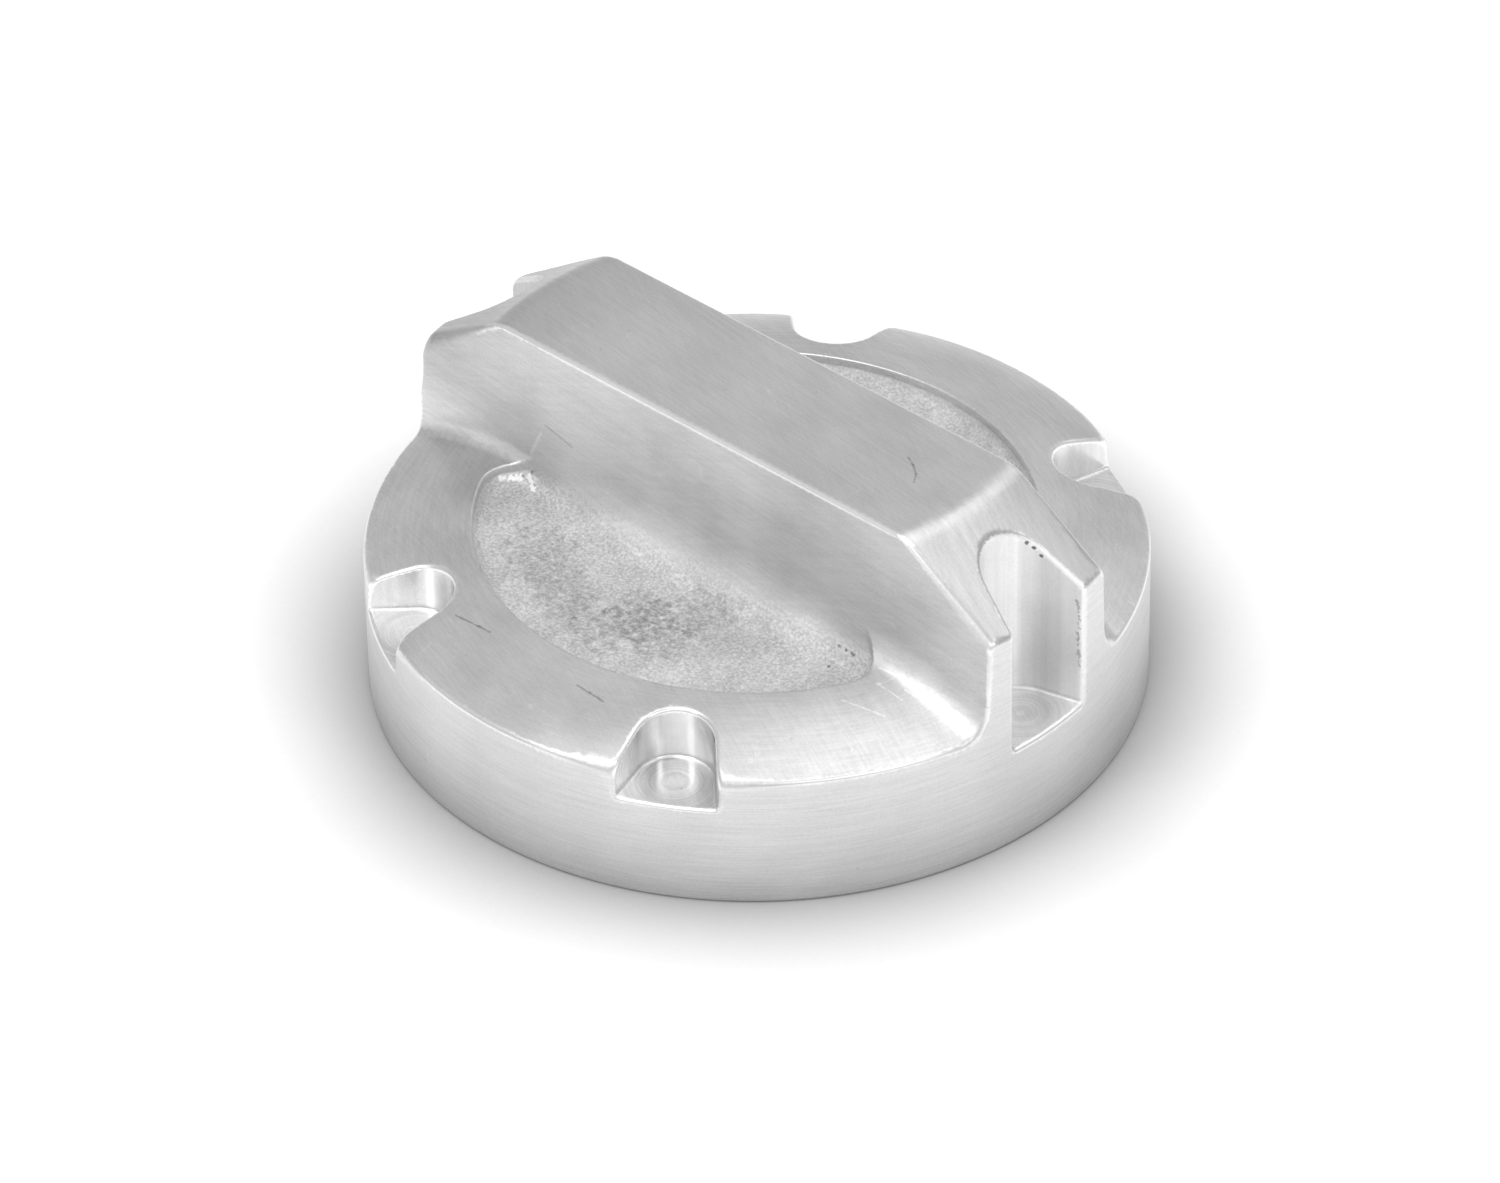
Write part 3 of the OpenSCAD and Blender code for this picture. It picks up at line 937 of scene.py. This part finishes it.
def rubber_finish():
    """Matt black moulded rubber with a fine bloom and specks of dust."""
    material = bpy.data.materials.new("seal_rubber")
    material.use_nodes = True
    tree = material.node_tree
    tree.nodes.clear()
    out = add_node(tree, "ShaderNodeOutputMaterial")
    shader = add_node(tree, "ShaderNodeBsdfPrincipled", {"Metallic": 0.0, "IOR": 1.5})
    tree.links.new(shader.outputs[0], out.inputs[0])
    links = {"Vector": place_mm(tree), "Scale": 1.4, "Detail": 4.0}
    bloom = add_node(tree, "ShaderNodeTexNoise", links).outputs[0]
    dust = use_group(tree, GROUPS["marks"], Scratchiness=0.2, Pitting=0.6)
    tone = spread(tree, bloom, 0.3, 0.7, 0.016, 0.034)
    tone = blend_to(tree, tone, 0.2, dust["Pits"])
    tree.links.new(tone, shader.inputs["Base Color"])
    tree.links.new(spread(tree, bloom, 0.3, 0.7, 0.55, 0.75), shader.inputs["Roughness"])
    bump = add_node(tree, "ShaderNodeBump", {"Height": bloom, "Strength": 1.0, "Distance": 2e-5})
    tree.links.new(bump.outputs[0], shader.inputs["Normal"])
    return material


# Floor, lamps and world

FLOOR_R = 1.8
FLOOR_SIDES = 96
# The floor is open where the cap covers it, so that the world lights the underside
FLOOR_OPEN_R = 0.0302
FLOOR_TONE = 0.86
FLOOR_LIT_SHARE = 1.0
FLOOR_GLOW = 0.05
WORLD_TONE = 0.68
# Below the rim, so that the two faces don't lie in one plane
FLOOR_H = -0.00002
# Painted contact shade on the floor: darker within this reach of the cap, by ambient occlusion raised to
# a power, never below the darkest tone
CONTACT_REACH = 0.02
CONTACT_STRENGTH = 1.5
CONTACT_DARKEST = 0.3


def make_floor():
    """A pale floor that shows white and keeps the cap's soft shadow, deepened near the cap by painted
    shade from ambient occlusion. From below it isn't seen.
    """
    mesh = bpy.data.meshes.new("floor")
    corners = []
    for radius in (FLOOR_OPEN_R, FLOOR_R):
        for i in range(FLOOR_SIDES):
            angle = 2 * math.pi * i / FLOOR_SIDES
            corners.append((radius * math.cos(angle), radius * math.sin(angle), FLOOR_H))
    sides = []
    for i in range(FLOOR_SIDES):
        after = (i + 1) % FLOOR_SIDES
        sides.append((i, FLOOR_SIDES + i, FLOOR_SIDES + after, after))
    mesh.from_pydata(corners, [], sides)
    floor = bpy.data.objects.new("floor", mesh)
    bpy.context.scene.collection.objects.link(floor)
    material = bpy.data.materials.new("white_paper")
    material.use_nodes = True
    tree = material.node_tree
    tree.nodes.clear()
    out = add_node(tree, "ShaderNodeOutputMaterial")
    plain = add_node(tree, "ShaderNodeBsdfDiffuse", {"Color": (FLOOR_TONE,) * 3 + (1,)})
    painted_contact_shade = add_node(tree, "ShaderNodeAmbientOcclusion", {"Distance": CONTACT_REACH}).outputs["AO"]
    tone = calc(tree, "MULTIPLY", calc(tree, "POWER", painted_contact_shade, CONTACT_STRENGTH), FLOOR_LIT_SHARE)
    tone = calc(tree, "MAXIMUM", tone, CONTACT_DARKEST)
    shaded = add_node(tree, "ShaderNodeBsdfDiffuse", {"Color": tone})
    glow = add_node(tree, "ShaderNodeEmission", {"Strength": FLOOR_GLOW})
    shown = add_node(tree, "ShaderNodeAddShader", {0: shaded.outputs[0], 1: glow.outputs[0]})
    ray = add_node(tree, "ShaderNodeLightPath").outputs
    seen = calc(tree, "MAXIMUM", ray["Is Camera Ray"], ray["Is Glossy Ray"])
    seen = calc(tree, "MAXIMUM", seen, ray["Is Transmission Ray"])
    both_ways = add_node(
        tree, "ShaderNodeMixShader", {0: seen, 1: plain.outputs[0], 2: shown.outputs[0]}
    )
    clear = add_node(tree, "ShaderNodeBsdfTransparent")
    below = add_node(tree, "ShaderNodeNewGeometry").outputs["Backfacing"]
    one_sided = add_node(
        tree, "ShaderNodeMixShader", {0: below, 1: both_ways.outputs[0], 2: clear.outputs[0]}
    )
    tree.links.new(one_sided.outputs[0], out.inputs[0])
    mesh.materials.append(material)


def make_lamp(name, direction, distance, size, brightness, shape="RECTANGLE"):
    """A soft box that faces the cap. Its brightness is that of its face, where 1 is white."""
    light = bpy.data.lights.new(name, "AREA")
    light.shape = shape
    light.size = size[0]
    area = math.pi / 4 * size[0] * size[0]
    if shape == "RECTANGLE":
        light.size_y = size[1]
        area = size[0] * size[1]
    light.energy = brightness * math.pi * area
    lamp = bpy.data.objects.new(name, light)
    bpy.context.scene.collection.objects.link(lamp)
    towards = Vector(direction).normalized()
    lamp.location = towards * distance + Vector((0, 0, CAP_H * MM / 2))
    lamp.rotation_euler = towards.to_track_quat("Z", "Y").to_euler()


def make_world():
    world = bpy.data.worlds.new("studio")
    world.use_nodes = True
    world.node_tree.nodes["Background"].inputs["Color"].default_value = (WORLD_TONE,) * 3 + (1,)
    bpy.context.scene.world = world


make_camera()
make_floor()
make_world()
make_lamp("overhead_back", (0.15, 0.40, 0.90), 1.05, (1.0, 1.0), 1.0, "DISK")
make_lamp("overhead_front", (-0.05, -0.42, 0.90), 1.05, (0.66, 0.66), 2.9, "DISK")
make_lamp("front_card", (0.55, -0.59, 0.60), 1.4, (1.4, 0.5), 1.0)
make_lamp("left_box", (-0.07, -0.80, 0.60), 0.95, (0.16, 0.5), 2.6)
make_lamp("right_box", (0.79, -0.10, 0.60), 0.95, (0.16, 0.5), 2.6)
bpy.context.scene.view_settings.view_transform = "Standard"

cap = make_cap()
for make_finish in (
    skirt_finish, deck_finish, bar_top_finish, wall_finish, notch_finish, notch_floor_finish,
    underside_finish,
):
    cap.data.materials.append(make_finish())
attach(cap, "root")
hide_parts("cap_body")

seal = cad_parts["seal_ring"]
seal.data.materials.clear()
seal.data.materials.append(rubber_finish())
